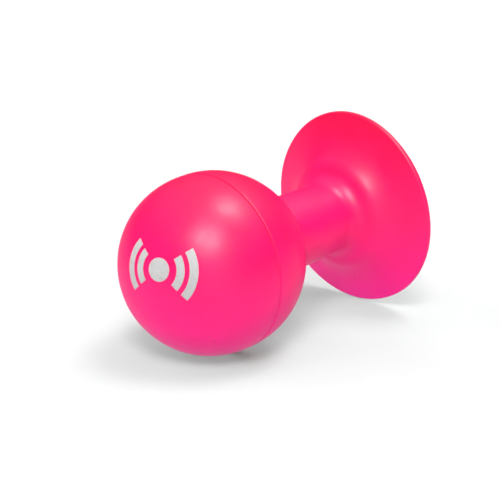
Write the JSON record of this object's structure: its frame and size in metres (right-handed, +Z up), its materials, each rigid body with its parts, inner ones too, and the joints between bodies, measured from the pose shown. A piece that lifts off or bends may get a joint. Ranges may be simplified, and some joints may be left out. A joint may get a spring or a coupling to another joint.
{
  "type": "suction ball phone stand",
  "caption": "Soft silicone phone stand: a hollow squeeze ball, a short bored neck and a suction cup that grips a phone's back.",
  "frame": {"origin": "on the floor, under the middle of the object's box, as it lies on its side", "axes": "+Z up, +Y along the object from the ball towards the cup, level with the floor; the moulded axis rises 3 degrees towards +Y"},
  "size_m": [0.0428, 0.0663, 0.0428],
  "materials": {
    "silicone": "satin moulded silicone, bright pink",
    "adhesive": "cured silicone adhesive, tinted pink",
    "ink": "matt white pad print"
  },
  "bodies": {
    "root": {"front_shell": "silicone", "cup_moulding": "silicone", "seam_bond": "adhesive"},
    "crown": {"printed_mark": "ink"}
  },
  "joints": [
    {"name": "ball_squeeze", "type": "slide", "parent": "root", "child": "crown", "axis": [0, 0.9986, 0.0531], "range_m": [0, 0.008], "stiffness_N_per_m": 700, "deforming": ["front_shell"]}
  ]
}
